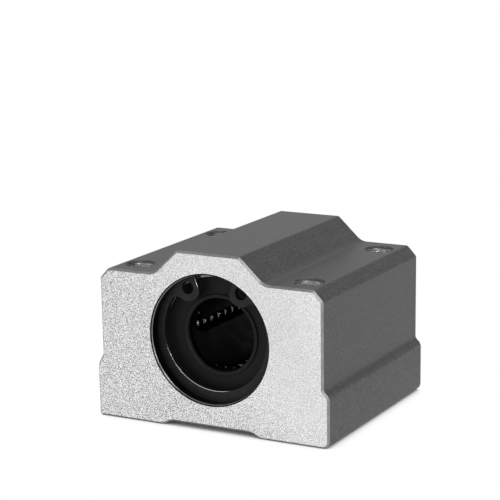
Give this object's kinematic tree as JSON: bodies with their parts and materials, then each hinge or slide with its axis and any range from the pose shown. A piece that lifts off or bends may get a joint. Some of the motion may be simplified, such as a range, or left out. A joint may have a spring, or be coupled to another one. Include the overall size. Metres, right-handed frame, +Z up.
{
  "type": "linear bearing block",
  "caption": "Machined aluminium block with a sealed linear ball bearing for a round shaft, held by retaining rings and fixed by screws.",
  "frame": {"origin": "middle of the base, on the plane of the foot, half way along the shaft direction", "axes": "+Z up from the base, +Y along the shaft axis, +X across the block"},
  "size_m": [0.042, 0.036, 0.029],
  "materials": {
    "aluminium": "extruded and anodised, end faces blasted",
    "bearing_steel": "ground",
    "ball_steel": "polished",
    "moulded_cage": "moulded",
    "seal_rubber": "moulded",
    "spring_steel": "blackened and oiled"
  },
  "bodies": {
    "root": {"housing": "aluminium", "bearing_sleeve": "bearing_steel", "ball_cage": "moulded_cage", "front_side_ring": "bearing_steel", "rear_side_ring": "bearing_steel", "front_seal": "seal_rubber", "rear_seal": "seal_rubber", "front_retaining_ring": "spring_steel", "rear_retaining_ring": "spring_steel", "loaded_balls_1": "ball_steel", "returning_balls_1": "ball_steel", "loaded_balls_2": "ball_steel", "returning_balls_2": "ball_steel", "loaded_balls_3": "ball_steel", "returning_balls_3": "ball_steel", "loaded_balls_4": "ball_steel", "returning_balls_4": "ball_steel"}
  },
  "joints": []
}
